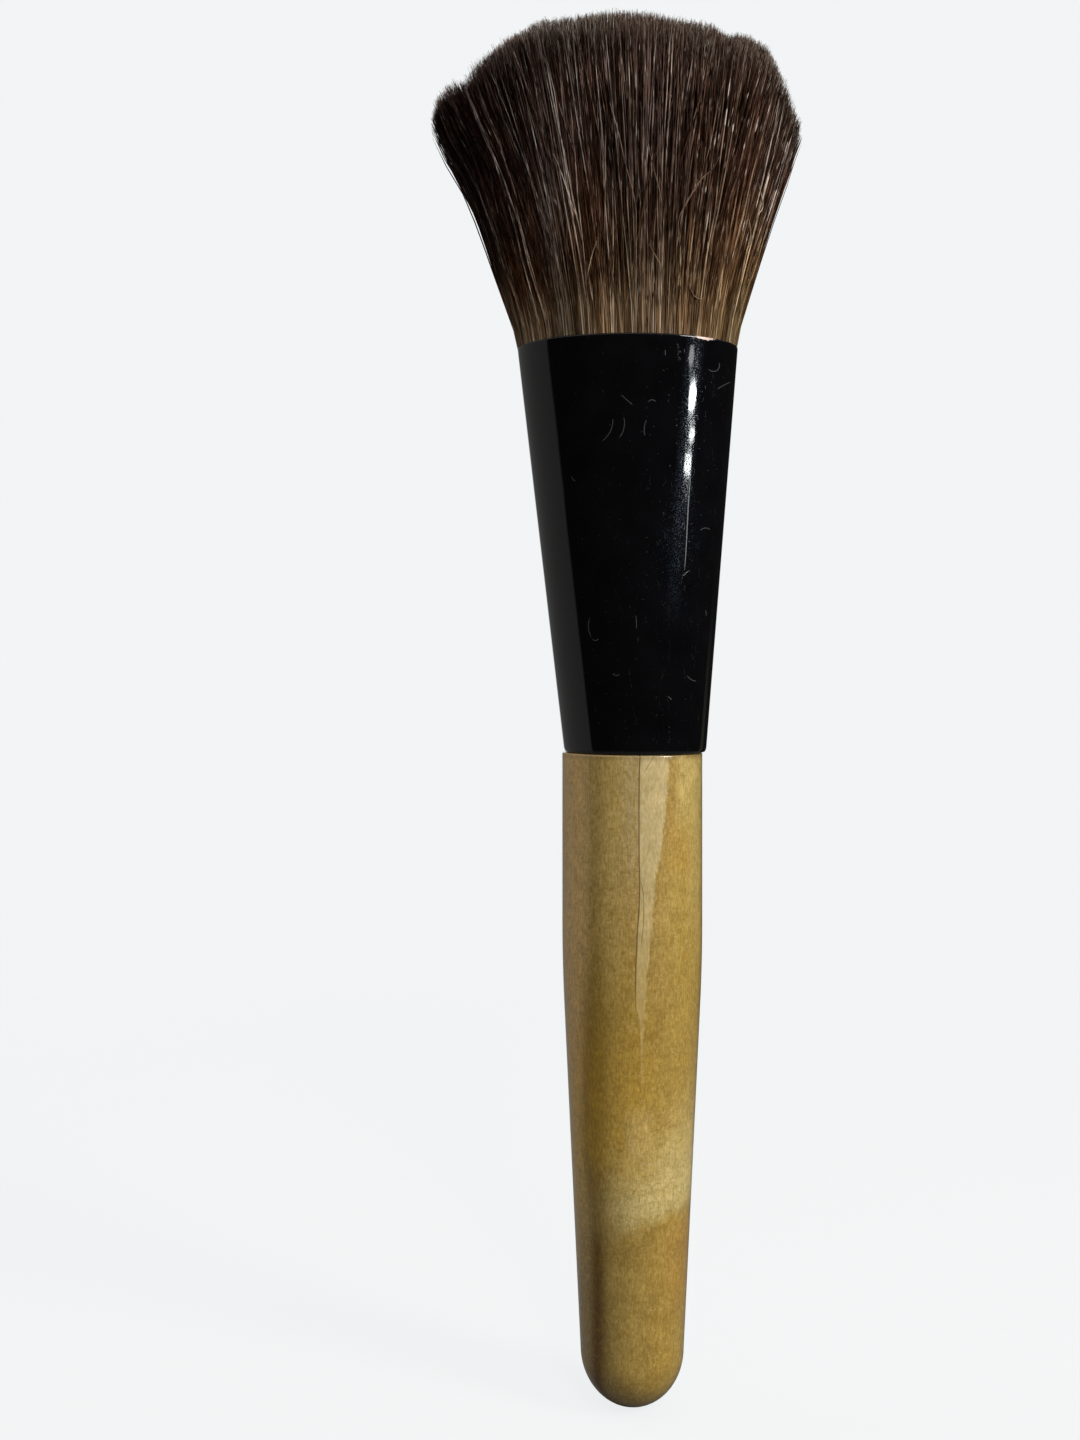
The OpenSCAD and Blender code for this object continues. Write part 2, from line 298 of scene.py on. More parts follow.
def rippled(w, colour, place, front, swirl):
    """Adds a painted pale sheen over a ripple in the grain, and the patches round it. Returns the sheen's
    share too.
    """
    x, y, z = w.parts(place)
    lift = z + x * -0.3 + (swirl - 0.5) * 3.0
    foot_edge = w.rise(lift, w.rise(x, -4.0, 4.0, -44.2, -43.4), w.rise(x, -4.0, 4.0, -39.0, -41.0))
    # Painted sheen: a pale shine over the ripple
    painted_sheen = foot_edge * w.rise(lift, w.rise(x, -2.0, 6.0, -28.5, -26.0), -40.0)
    painted_sheen = painted_sheen * w.rise(x, -7.0, 0.5) * w.rise(y, 2.0, -2.5)
    colour = w.blend(painted_sheen * 0.95, colour, (0.74, 0.57, 0.2))
    honey = w.rise(z, -40.0, -33.0) * w.rise(z, -8.0, -28.0) * w.rise(x, -9.0, -3.0) * w.rise(x, 4.5, -0.5)
    colour = w.blend(honey * front * 0.65, colour, (0.67, 0.405, 0.045))
    below = w.rise(z, -45.0, -49.0) * w.rise(x, -4.2, -2.4) * w.rise(x, 2.2, 0.4)
    colour = w.blend(below * w.rise(z, -64.0, -58.0) * 0.16, colour, (0.8, 0.58, 0.16))
    sunny = w.rise(abs(x - 0.4), 2.2, 0.8) * w.rise(abs(z + 31.5), 4.5, 1.5)
    colour = w.blend(sunny * front * 0.4, colour, (0.82, 0.6, 0.22))
    amber = w.rise(x, 2.0, 5.8) * w.rise(z, -56.0, -49.0) * w.rise(z, -40.5, -44.5) * w.rise(y, 3.0, -1.0)
    return w.blend(amber * 0.55, colour, (0.5, 0.25, 0.03)), painted_sheen


def grained(w, colour, place, fleck, cloud, painted_sheen, wedge):
    """Adds fine upright flecks over slanted silky streaks."""
    fine = w.noise(w.upright(place, 0.22), 6.5, 2.0, 0.6)
    slant = {"Vector": place, "Rotation": (0.0, 0.5, 0.0), "Scale": (2.6, 2.6, 0.5)}
    silk = w.noise(w.get("ShaderNodeMapping", slant), 1.0, 3.0, 0.6, 0.4)
    grain = (fleck - 0.5) * w.between(wedge, w.between(painted_sheen, 0.9, 0.3), 0.5) + 1.0
    grain = grain * ((fine - 0.5) * w.between(wedge, 0.95, 0.6) + 1.0)
    # Light and dark flecks differ more in grey than in gold
    ashy = w.joined(grain, grain ** 1.15, grain ** 2.1)
    colour = w.blend(1.0, colour, ashy, "MULTIPLY")
    grain = ((silk - 0.5) * 0.5 + 1.0) * ((cloud - 0.5) * 0.5 + 1.0)
    return w.blend(1.0, colour, grain, "MULTIPLY")


def speckled(w, colour, place, painted_sheen, wedge, shade_band):
    """Adds creamy specks and short level flecks, and tawny blots between them."""
    specks = w.noise(place, 3.4, 3.0, 0.7)
    rays = w.noise(w.upright(place, 2.0), 1.2, 3.0, 0.7, 0.8)
    patches = w.noise(place, 0.7, 2.0, 0.5)
    cream = w.most(w.rise(specks, 0.53, 0.64), w.rise(rays, 0.54, 0.66) * 0.8)
    cream = cream * w.rise(patches, 0.3, 0.65, 0.3, 1.0) * w.between(painted_sheen, 0.42, 0.75)
    cream = cream * (1.0 - w.most(shade_band * 0.85, wedge * 0.5))
    # The specks are paler within the painted sheen
    colour = w.blend(cream, colour, w.blend(painted_sheen, (0.78, 0.59, 0.21), (0.97, 0.8, 0.43)))
    tawny = w.rise(rays, 0.5, 0.34) * w.rise(patches, 0.65, 0.35) * w.between(wedge, 1.0, 0.3)
    return w.blend(tawny * 0.6, colour, (0.36, 0.2, 0.03))


def open_grain(w, x, z, crack_x):
    """The hair-fine open grain lines."""
    open_line = w.rise(abs(x - crack_x), 0.13, 0.03) * w.rise(z, -19.0, -12.0)
    side_line = w.rise(abs(x - w.follow(z, SIDE_CRACK)), 0.09, 0.02) * w.rise(abs(z + 5.3), 4.4, 3.0)
    branch = w.rise(abs(x - (z * 0.6 - 5.42)), 0.09, 0.03) * w.rise(z, 10.4, 10.9) * w.rise(z, 12.6, 12.2)
    return w.most(open_line, w.most(side_line, branch) * 0.7)


def wood():
    material, w, shader = finish_material("lacquered pale wood")
    place = place_in_mm(w)
    x, y, z = w.parts(place)
    front = w.rise(y, -1.0, -4.0)
    crack_x = w.follow(z, CRACK)
    swirl = w.noise(w.upright(place, 0.35), 0.45, 3.0, 0.6, 0.8)
    fleck = w.noise(w.upright(place, 0.4), 3.4, 3.0, 0.65)
    cloud = w.noise(place, 0.55, 3.0, 0.55)

    colour = broad_figure(w, place, swirl)
    colour, shade_band = shade_banded(w, colour, place, front, crack_x)
    colour, wedge = wedged(w, colour, place, front, crack_x)
    colour, painted_sheen = rippled(w, colour, place, front, swirl)
    colour = grained(w, colour, place, fleck, cloud, painted_sheen, wedge)
    colour = speckled(w, colour, place, painted_sheen, wedge, shade_band)
    lines = open_grain(w, x, z, crack_x) * front
    colour = w.blend(lines * 0.72, colour, (0.13, 0.075, 0.03))
    # Painted shade on the wood just under the ferrule's foot
    shade_under_foot = w.rise(z, SHOULDER_Z - 0.9, SHOULDER_Z - 0.1) * 0.45
    colour = w.blend(shade_under_foot, colour, (0.2, 0.13, 0.06))

    # The painted shade band has less gloss, as gloss would turn it grey
    relief = lines * -1.6 + fleck * 0.12 + cloud * 0.35
    w.fill(shader, {"Base Color": colour, "Roughness": w.rise(cloud, 0.3, 0.7, 0.36, 0.5),
                    "Coat Weight": w.between(shade_band, 1.0, 0.35), "Coat Roughness": 0.06, "Coat IOR": 1.58,
                    "Normal": w.bump(relief, 0.35, 0.05)})
    return material


# Black enamel

# Scratches on the front of the ferrule, each an arc through three places (across, up)
SCRATCHES = [
    ((8.28, 57.18), (9.45, 57.05), (9.75, 58.15)), ((-2.74, 51.07), (-3.0, 49.58), (-4.24, 48.29)),
    ((-1.53, 51.23), (-1.47, 49.89), (-2.18, 48.61)), ((1.13, 50.86), (0.85, 49.92), (1.04, 48.6)),
    ((1.27, 52.79), (1.72, 53.11), (2.19, 52.87)), ((-1.81, 53.69), (-1.13, 53.07), (-0.33, 52.38)),
    ((9.56, 54.9), (10.46, 55.6), (11.51, 56.22)), ((3.21, 58.92), (3.26, 58.5), (3.22, 58.17)),
    ((-7.35, 44.67), (-7.24, 44.26), (-6.9, 44.07)), ((5.3, 33.1), (5.75, 33.5), (6.2, 33.8)),
    ((8.26, 29.3), (8.36, 28.95), (8.34, 28.6)), ((5.95, 21.73), (6.46, 21.2), (7.28, 21.02)),
    ((3.6, 19.38), (3.9, 19.1), (4.14, 18.92)), ((-5.2, 28.56), (-5.45, 27.15), (-5.05, 25.94)),
    ((-5.05, 25.94), (-4.65, 25.7), (-4.28, 26.01)), ((-0.11, 28.6), (-0.02, 27.8), (-0.03, 26.92)),
    ((-2.61, 22.08), (-2.33, 21.68), (-1.94, 21.88)), ((7.48, 38.4), (8.11, 38.79), (9.04, 38.41)),
]
CHIP_PLACE = (8.0, -7.3, 60.66)


def arc_through(first, middle, last):
    """Centre and radius of the circle through three places."""
    (ax, ay), (bx, by), (cx, cy) = first, middle, last
    d = 2 * (ax * (by - cy) + bx * (cy - ay) + cx * (ay - by))
    a2, b2, c2 = ax * ax + ay * ay, bx * bx + by * by, cx * cx + cy * cy
    x = (a2 * (by - cy) + b2 * (cy - ay) + c2 * (ay - by)) / d
    y = (a2 * (cx - bx) + b2 * (ax - cx) + c2 * (bx - ax)) / d
    return (x, y), math.hypot(ax - x, ay - y)


def scratched(w, x, z):
    """The scratches, as thin arcs."""
    face = w.joined(x, 0.0, z)
    marks = []
    for first, middle, last in SCRATCHES:
        centre, radius = arc_through(first, middle, last)
        spoke = w.vector("SUBTRACT", face, (centre[0], 0.0, centre[1]))
        off = abs(w.vector("LENGTH", spoke) - radius)
        heading = ((middle[0] - centre[0]) / radius, 0.0, (middle[1] - centre[1]) / radius)
        facing = w.vector("DOT_PRODUCT", w.vector("NORMALIZE", spoke), heading)
        end = min(math.dist(first, middle), math.dist(middle, last)) / radius / 2
        end = math.cos(2 * math.asin(min(end, 1.0)))
        marks.append(w.rise(off, 0.06, 0.015) * w.rise(facing, end, end + (1 - end) * 0.5))
    return w.most(*marks)


def scuffed(w, place):
    """Hairline scuffs that run three ways."""
    bent = w.vector("ADD", place, w.scaled(w.noise(place, 0.8, 2.0, output=1), 0.9))
    lines = []
    for turn, scale in ((0.35, 1.1), (-0.6, 0.8), (1.3, 0.9)):
        slant = {"Vector": bent, "Rotation": (turn, turn, 0.0), "Scale": (1.0, 1.0, 0.22)}
        laid = w.get("ShaderNodeMapping", slant)
        cells = {"Vector": laid, "Scale": scale}
        off = w.get("ShaderNodeTexVoronoi", cells, "Distance", feature="DISTANCE_TO_EDGE")
        lines.append(w.rise(off, 0.014, 0.003) * w.rise(w.noise(laid, scale * 1.7, 2.0), 0.62, 0.7))
    return w.most(*lines)


def enamel():
    material, w, shader = finish_material("black gloss enamel")
    place = place_in_mm(w)
    x, y, z = w.parts(place)
    front = w.rise(y, -1.0, -2.5)

    # Wear: scratches, scuffs and dust specks, thickest down the worn strip on the right of the front. The
    # strip follows the highlight, and a painted bluish glow in it and in a haze round it stands for light
    # scattered round the highlight
    off_strip = abs(x - (z * 0.085 + 1.75))
    faded = w.rise(z, 24.0, 46.0) * front
    worn_and_glow_strip = w.rise(off_strip, 1.4, 0.1) * faded
    around = w.rise(off_strip, 6.0, 0.5) * w.between(faded, 0.25, 1.0)
    specks = w.outputs("ShaderNodeTexVoronoi", {"Vector": place, "Scale": 2.6})
    dust = w.rise(specks["Distance"], 0.3, 0.12) * w.rise(w.parts(specks["Color"])[0], 0.86, 0.98)
    dust = dust * w.between(around, 0.25, 1.0)
    crazing_and_glow = w.noise(place, 7.0, 4.0, 0.75)
    glow_haze = w.rise(off_strip, w.rise(z, 47.0, 36.0, 1.4, 4.0), 0.1) * faded
    sparkle = w.most(w.rise(crazing_and_glow, 0.5, 0.62) * worn_and_glow_strip, w.rise(crazing_and_glow, 0.57, 0.66) * glow_haze)
    scuffs = scuffed(w, place) * w.between(around, 0.15, 0.8)
    wear = w.most(scuffs, dust * 0.8, scratched(w, x, z) * front)

    # A chip out of the enamel on the mouth's rim, down to bare pinkish metal
    chip_off = w.vector("MULTIPLY", w.vector("SUBTRACT", place, CHIP_PLACE), (0.42, 0.3, 1.6))
    chip_edge = (w.noise(place, 2.4, 3.0, 0.7) - 0.5) * 0.8 + w.vector("LENGTH", chip_off)
    chip = w.rise(chip_edge, 0.52, 0.44) * w.rise(x, 6.6, 6.9)

    black = w.blend(w.noise(place, 0.3, 1.0), (0.0015, 0.0015, 0.002), (0.0045, 0.0045, 0.0055))
    colour = w.blend(wear * 0.2, black, (0.32, 0.33, 0.36))
    # Painted bluish glow round the highlight
    colour = w.blend(sparkle * 0.24, colour, (0.26, 0.36, 0.52))
    colour = w.blend(chip, colour, (0.62, 0.47, 0.41))
    polish = wear * 0.4 + (w.rise(sparkle, 0.3, 1.0) * 0.2 + w.between(worn_and_glow_strip, 0.03, 0.045))

    # Slow waves of the pressed sheet, and the cut of each scratch
    relief = w.noise(place, 0.55, 1.0) * 0.05 + w.noise(w.upright(place, 0.6), 0.16, 1.0)
    relief = crazing_and_glow * (worn_and_glow_strip * 0.006) + relief
    relief = chip * -0.6 + (wear * -0.05 + relief)
    w.fill(shader, {"Base Color": colour, "Roughness": w.between(chip, polish, 0.42), "Metallic": chip * 0.6,
                    "IOR": 1.52, "Normal": w.bump(relief, 1.0, 0.06)})
    return material


# Natural hair and the hidden fillings

# Painted light and shade across the fan: how bright the hair is made from its left edge to its right edge,
# low down and higher up
LOW_PAINTED_LIGHTING = [(-1.0, 2.0), (-0.85, 2.1), (-0.6, 0.85), (-0.3, 1.0), (0.0, 1.1), (0.3, 0.82), (0.6, 0.92),
              (0.85, 1.4), (1.0, 1.5)]
HIGH_PAINTED_LIGHTING = [(-1.0, 0.95), (-0.85, 0.95), (-0.6, 1.05), (-0.45, 1.6), (-0.3, 2.3), (-0.15, 1.6),
               (0.0, 1.1), (0.3, 1.0), (0.45, 0.84), (0.6, 0.62), (0.72, 1.0), (0.85, 1.9), (1.0, 2.0)]
# How far up the hair the pale roots reach across the fan, and the painted shade on its right side from root
# to tip
ROOT_REACH = [(-1.0, 0.24), (-0.6, 0.22), (-0.2, 0.32), (0.0, 0.38), (0.3, 0.33), (0.6, 0.36), (1.0, 0.42)]
RIGHT_PAINTED_SHADE = [(0.0, 0.75), (0.2, 0.72), (0.5, 0.86), (0.8, 0.6), (1.0, 0.48)]


def hair_colour(w, along, tone, root):
    """Taupe at the roots, brown above them and dark brown at the tips. Pale hairs are greyer."""
    body = w.rise(along, 0.1, 0.7, 1.0, 0.0)
    ashen = tone ** 3.0
    crown = w.blend(ashen, (0.1, 0.04, 0.024), (0.1, 0.077, 0.065))
    middle = w.blend(ashen, (0.118, 0.045, 0.015), (0.118, 0.087, 0.062))
    taupe = w.blend(ashen, (0.29, 0.168, 0.075), (0.29, 0.232, 0.157))
    return w.blend(root ** 1.6, w.blend(body, crown, middle), taupe)


def hair_shade(w, x, along, tone, share, left, root, dull):
    """How bright each hair is. Each hair and each lock has its own shade, and a few hairs are pale. Painted
    glints run along the hairs, and painted light and shade lie across the fan.
    """
    pallor = tone ** 3.2
    soft = w.most(left * w.rise(along, 0.95, 0.4), w.rise(x, 5.0, 12.0) * 0.8)
    edge = w.rise(share, -0.68, -0.84)
    lowest = edge * 0.2 + w.between(soft, 0.16, 0.27)
    shade = w.between(pallor, lowest, w.between(w.most(dull, edge), 2.5, 1.75))
    shade = w.between(root, shade, w.between(pallor, 0.52, 1.25))
    # Painted shade on the right side of the fan, from root to tip
    shade = shade * w.between(w.rise(x, -12.0, 16.0), 1.0, w.follow(along, RIGHT_PAINTED_SHADE))
    # Painted glints: brighter and darker runs along each hair
    glint = w.noise(w.joined(tone * 900.0, along * 8.0, 0.0), 1.0, 2.0, 0.65)
    glint = w.rise(glint, 0.36, 0.66, w.between(root, 0.36, 0.45), w.between(root, 2.15, 1.85))
    lock_shade = w.between(w.attribute("lock_tone"), 0.72, 1.28)
    wisp_shade = w.between(w.attribute("wisp_tone"), 0.72, 1.22)
    shade = shade * glint * (lock_shade * wisp_shade)
    # A few hairs shine from root to tip. The middle of the front is duller, and its top brighter
    shade = shade * (w.rise(tone, 0.955, 0.985) * w.between(edge, 0.55, 0.0) + 1.0)
    # Painted light and shade across the fan, low down and higher up
    painted_lighting = w.between(w.rise(along, 0.15, 0.45), w.follow(share, LOW_PAINTED_LIGHTING), w.follow(share, HIGH_PAINTED_LIGHTING))
    shade = shade * w.between(w.rise(along, 0.98, 0.84), 1.0, painted_lighting)
    shade = shade * (dull * -0.13 + 1.0)
    shade = shade * (w.rise(along, 0.78, 0.92) * w.rise(x, -9.0, -3.0) * 0.17 + 1.0)
    return shade * (w.rise(along, 0.93, 1.0) * 0.25 + 1.0)


def hair_tint(w, along, tone, share, left):
    """Each hair's own hue, ruddier right of the middle and greyer beside it."""
    hue = w.get("ShaderNodeTexWhiteNoise", {"W": tone * 731.0}, noise_dimensions="1D")
    tint = w.blend(hue, (1.0, 0.93, 0.8), (1.0, 1.04, 1.18))
    tint = w.blend(left * w.rise(tone, 0.3, 0.7), tint, (0.96, 1.06, 1.2))
    ruddy = w.rise(abs(share - 0.58), 0.28, 0.1) * w.rise(along, 0.98, 0.8)
    tint = w.blend(ruddy * 0.8, tint, (1.1, 0.95, 0.78))
    tint = w.blend(w.rise(share, 0.66, 0.8) * w.rise(along, 0.7, 0.45), tint, (1.0, 0.98, 0.84))
    greyer = w.most(w.rise(abs(share + 0.3), 0.28, 0.1), w.rise(share, 0.72, 0.85))
    return w.blend(greyer * w.rise(along, 0.3, 0.55), tint, (0.91, 1.02, 1.02), "MULTIPLY")


def glinting(w, colour, x, along, tone, left, dull):
    """Adds painted soft glints, short bright painted sparkles that are thickest above, and some creamy tips.
    """
    gleam = w.noise(w.joined(tone * 517.0, along * 16.0, 3.0), 1.0, 1.0)
    gleam = w.rise(gleam, 0.56, 0.68) * w.rise(tone, 0.45, 0.9)
    colour = w.blend(gleam * 0.5, colour, (0.38, 0.285, 0.215))
    sparkle = w.noise(w.joined(tone * 811.0, along * 11.0, 7.0), 1.0, 1.0)
    sparkle = w.rise(sparkle, 0.65, 0.72) * w.rise(tone, 0.35, 0.7) * w.rise(along, 0.15, 0.6, 0.25, 0.95)
    sparkle = sparkle * (dull * -0.55 + 1.0) * w.between(left, 1.0, 0.7)
    colour = w.blend(sparkle, colour, (0.9, 0.78, 0.68))
    cream = w.rise(along, 0.955, 1.0) * w.rise(w.calc("FRACT", tone * 37.0), 0.72, 0.9)
    fair = w.most(w.rise(x, -2.0, -7.0) * w.rise(x, -17.5, -13.0), w.rise(x, 11.0, 15.0))
    return w.blend(cream * w.between(fair, 0.55, 0.95), colour, (0.56, 0.49, 0.39))


def hair_finish():
    material, w, shader = finish_material("natural brown hair")
    along, tone = w.attribute("along"), w.attribute("tone")
    x = w.parts(place_in_mm(w))[0]
    share = (x + 1.0) / (along * 8.2 + 13.0)
    left = w.rise(x, -2.0, -11.0)
    dull = w.rise(abs(x + 0.5), 10.0, 4.0) * w.rise(along, 0.05, 0.25) * w.rise(along, 0.88, 0.72)
    reach = w.between(w.calc("FRACT", tone * 53.0), 0.6, 1.8)
    root = w.rise(along, 0.0, w.follow(share, ROOT_REACH) * reach, 1.0, 0.0)

    colour = hair_colour(w, along, tone, root)
    colour = w.blend(1.0, colour, hair_tint(w, along, tone, share, left), "MULTIPLY")
    shade = hair_shade(w, x, along, tone, share, left, root, dull)
    colour = w.blend(1.0, colour, shade, "MULTIPLY")
    colour = glinting(w, colour, x, along, tone, left, dull)
    kinks = w.noise(w.joined(tone * 431.0, along * 9.0, 0.0), 1.0, 2.0)
    w.fill(shader, {"Base Color": colour, "Roughness": w.between(tone ** 5.0, 0.38, 0.16), "IOR": 1.42,
                    "Specular Tint": (1.0, 0.8, 0.62, 1.0), "Specular IOR Level": 0.3,
                    "Normal": w.bump(kinks, 0.6, 0.25)})
    return material


def thread_finish():
    material, w, shader = finish_material("binding thread")
    twist = {"Vector": place_in_mm(w), "Scale": 1.6, "Distortion": 1.5, "Detail": 2.0}
    ply = w.get("ShaderNodeTexWave", twist, "Fac", bands_direction="DIAGONAL")
    w.fill(shader, {"Base Color": w.blend(ply, (0.5, 0.45, 0.36), (0.68, 0.64, 0.55)), "Roughness": 0.85,
                    "Normal": w.bump(ply, 0.5, 0.05)})
    return material


def filling_finish(name, low, high, roughness):
    material, w, shader = finish_material(name)
    cloud = w.noise(place_in_mm(w), 0.7, 3.0, 0.6)
    w.fill(shader, {"Base Color": w.blend(cloud, low, high), "Roughness": roughness,
                    "Normal": w.bump(cloud, 0.4, 0.1)})
    return material


# Turned and pressed pieces


def ringed_mesh(name, rings, closed_on_itself=False, foot_pole=None, top_pole=None):
    """Faces between rings of points in millimetres, from the bottom up, closed by poles or on itself."""
    sides = len(rings[0])
    points = [Vector(p) * MM for ring in rings for p in ring]
    faces = []
    last = len(rings) if closed_on_itself else len(rings) - 1
    for r in range(last):
        low, high = r * sides, (r + 1) % len(rings) * sides
        faces += [(low + i, low + (i + 1) % sides, high + (i + 1) % sides, high + i) for i in range(sides)]
    if foot_pole:
        points.append(Vector(foot_pole) * MM)
        faces += [((i + 1) % sides, i, len(points) - 1) for i in range(sides)]
    if top_pole:
        points.append(Vector(top_pole) * MM)
        top = (len(rings) - 1) * sides
        faces += [(top + i, top + (i + 1) % sides, len(points) - 1) for i in range(sides)]
    mesh = bpy.data.meshes.new(name)
    mesh.from_pydata(points, [], faces)
    mesh.shade_smooth()
    return placed(name, mesh)


def oval(a, b, z, sides, shift=0.0):
    turns = [FULL_TURN * i / sides for i in range(sides)]
    return [(shift + a * math.cos(t), b * math.sin(t), z) for t in turns]


def arc(steps, draw):
    """Places drawn over a quarter turn."""
    return [draw(math.pi / 2 * i / steps) for i in range(steps + 1)]


def turned_handle():
    sides, butt_steps, edge_steps, step = 160, 22, 5, 0.8
    ease = 5.0
    profile = arc(butt_steps, lambda t: (BUTT_R * math.sin(t), TAPER_END_Z - BUTT_HEIGHT * math.cos(t)))[1:]

    def side_r(z):
        slope = (GRIP_R - BUTT_R) / TAPER_LENGTH
        below = -SHOULDER_Z - z
        if below > ease:
            return GRIP_R - slope * below
        return GRIP_R - slope * (below + ease) ** 2 / (4 * ease) if below > -ease else GRIP_R

    length = SHOULDER_Z - SHOULDER_EDGE - TAPER_END_Z
    count = round(length / step)
    heights = [TAPER_END_Z + length * i / count for i in range(1, count)]
    profile += [(side_r(z), z) for z in heights]
    profile += arc(edge_steps, lambda t: (GRIP_R - SHOULDER_EDGE * (1 - math.cos(t)),
                                          SHOULDER_Z - SHOULDER_EDGE * (1 - math.sin(t))))
    profile += doubled([(TENON_R, SHOULDER_Z)])
    pitch = (TENON_LENGTH - TENON_CHAMFER) / (GROOVE_COUNT + 1)
    for i in range(1, GROOVE_COUNT + 1):
        z = SHOULDER_Z + i * pitch
        low, high, deep = z - GROOVE_WIDTH / 2, z + GROOVE_WIDTH / 2, TENON_R - GROOVE_DEPTH
        profile += doubled([(TENON_R, low), (deep, low), (deep, high), (TENON_R, high)])
    end = SHOULDER_Z + TENON_LENGTH
    profile += doubled([(TENON_R, end - TENON_CHAMFER), (TENON_R - TENON_CHAMFER, end)])
    rings = [oval(r, r, z, sides) for r, z in profile]
    return ringed_mesh("turned_handle", rings, foot_pole=(0, 0, BUTT_Z), top_pole=(0, 0, end))


def doubled(corners, edge=0.06):
    """Each corner as two places a hair apart, so that it shades as a crisp edge."""
    out = []
    for i, (r, z) in enumerate(corners):
        before = corners[i - 1] if i else (r + 1, z)
        after = corners[i + 1] if i + 1 < len(corners) else (r, z + 1)
        for other in (before, after):
            gap = math.dist((r, z), other)
            share = min(edge / gap, 0.4) if gap else 0
            out.append((r + (other[0] - r) * share, z + (other[1] - z) * share))
    return out


def shell_ring(h, inset, sides):
    """Ring on the ferrule, h above its foot and inset from its outside."""
    share = h / FERRULE_LENGTH
    a = FOOT_R + (MOUTH_WIDTH / 2 - FOOT_R) * share - inset
    b = FOOT_R + (MOUTH_DEPTH / 2 - FOOT_R) * share - inset
    shift = FOOT_SHIFT + (MOUTH_SHIFT - FOOT_SHIFT) * share
    return oval(a, b, FOOT_Z + h, sides, shift)


def pressed_ferrule():
    sides, wall_steps, edge_steps, mouth_steps = 200, 48, 6, 10
    inner_foot, inner_edge = 0.3, 0.05
    rim_r = FERRULE_WALL / 2
    low, high = FOOT_ROLL, FERRULE_LENGTH - rim_r
    foot = arc(edge_steps, lambda t: (FOOT_ROLL * (1 - math.cos(t)),
                                      FOOT_SHARE * FERRULE_WALL * (1 - math.sin(t))))
    wall = [(low + (high - low) * i / wall_steps, 0.0) for i in range(1, wall_steps)]
    turns = [math.pi * i / mouth_steps for i in range(mouth_steps + 1)]
    mouth = [(FERRULE_LENGTH - rim_r * (1 - math.sin(t)), rim_r * (1 - math.cos(t))) for t in turns]
    inside = [(high + (inner_foot - high) * i / wall_steps, FERRULE_WALL) for i in range(1, wall_steps + 1)]
    inside += [(0.0, FERRULE_WALL), (0.0, FERRULE_WALL - inner_edge)]
    rings = [shell_ring(h, inset, sides) for h, inset in foot + wall + mouth + inside]
    return ringed_mesh("pressed_ferrule", rings, closed_on_itself=True)


# Locks of hair

# Height of the tips over the mouth, from the left of the tuft to the right, in shares of its half-width
TOP_LINE = [(-1.0, 26.5), (-0.985, 27.7), (-0.95, 28.9), (-0.9, 29.1), (-0.865, 29.1), (-0.83, 28.9),
            (-0.79, 29.1), (-0.76, 30.2), (-0.72, 31.5), (-0.676, 32.5), (-0.605, 34.3), (-0.506, 35.7),
            (-0.386, 36.8), (-0.25, 36.8), (-0.1, 37.3), (0.06, 37.5), (0.24, 36.8), (0.39, 36.5),
            (0.47, 36.2), (0.52, 35.5), (0.55, 35.1), (0.575, 35.2), (0.61, 35.5), (0.66, 35.5),
            (0.7, 35.2), (0.775, 34.5), (0.8, 33.0), (0.825, 31.9), (0.85, 30.2), (0.875, 28.9),
            (0.905, 27.7), (0.94, 26.7), (0.97, 26.1), (1.0, 25.0)]
BUNDLE_HALF_WIDTH, BUNDLE_HALF_DEPTH = 12.65, 9.25

# Inputs of the tree, with their usual values
LOCK_COUNTS = {"Hairs": 1000, "Seed": 1, "Steps": 6}
LOCK_SIZES = {
    "Hair radius": 0.076, "Inner share": 0.8, "Outer share": 1.0, "First turn": 0.0, "Last turn": 1.0,
    "Start share": -0.08, "Mouth half-width": BUNDLE_HALF_WIDTH, "Mouth half-depth": BUNDLE_HALF_DEPTH,
    "Mouth shift": MOUTH_SHIFT, "Mouth height": MOUTH_Z, "Tuft half-width": TUFT_WIDTH / 2,
    "Tuft half-depth": TUFT_DEPTH / 2, "Tuft shift": TUFT_SHIFT, "Side height": SIDE_HEIGHT,
    "Front height": 30.6, "Dome squareness": 2.8, "Front lift": 1.3, "Unevenness": 0.9, "Stray": 0.58,
    "Waviness": 0.5, "Lock pull": 0.2, "Locks across": 20.0, "Left flare": 1.13, "Right flare": 1.1,
    "Wisp pull": 0.38, "Wisps across": 78.0,
}
DOME_EDGE, HOLLOW_DEPTH, LIP_SPREAD = 0.45, 0.06, 0.3
SEED_STEP = 101
# Thickness of a hair from its root to its tip, as a share
HAIR_TAPER = [(0.0, 0.9), (0.3, 1.0), (0.7, 0.95), (0.9, 0.7), (1.0, 0.15)]


class HairWiring(Wiring):
    """Adds nodes to the tree that grows hairs. Each hair keeps its own numbers by name."""

    def __init__(self, tree):
        super().__init__(tree)
        self.given = self.outputs("NodeGroupInput")
        self.draws = itertools.count()

    def chance(self, low=0.0, high=1.0):
        seed = self.given["Seed"] + float(SEED_STEP * next(self.draws))
        return self.get("FunctionNodeRandomValue", {2: low, 3: high, "Seed": seed}, 1, data_type="FLOAT")

    def keep(self, geometry, name, value, domain="CURVE"):
        inputs = {0: geometry, "Name": name, "Value": value}
        return self.get("GeometryNodeStoreNamedAttribute", inputs, data_type="FLOAT", domain=domain)

    def kept(self, name):
        return self.get("GeometryNodeInputNamedAttribute", {"Name": name}, data_type="FLOAT")


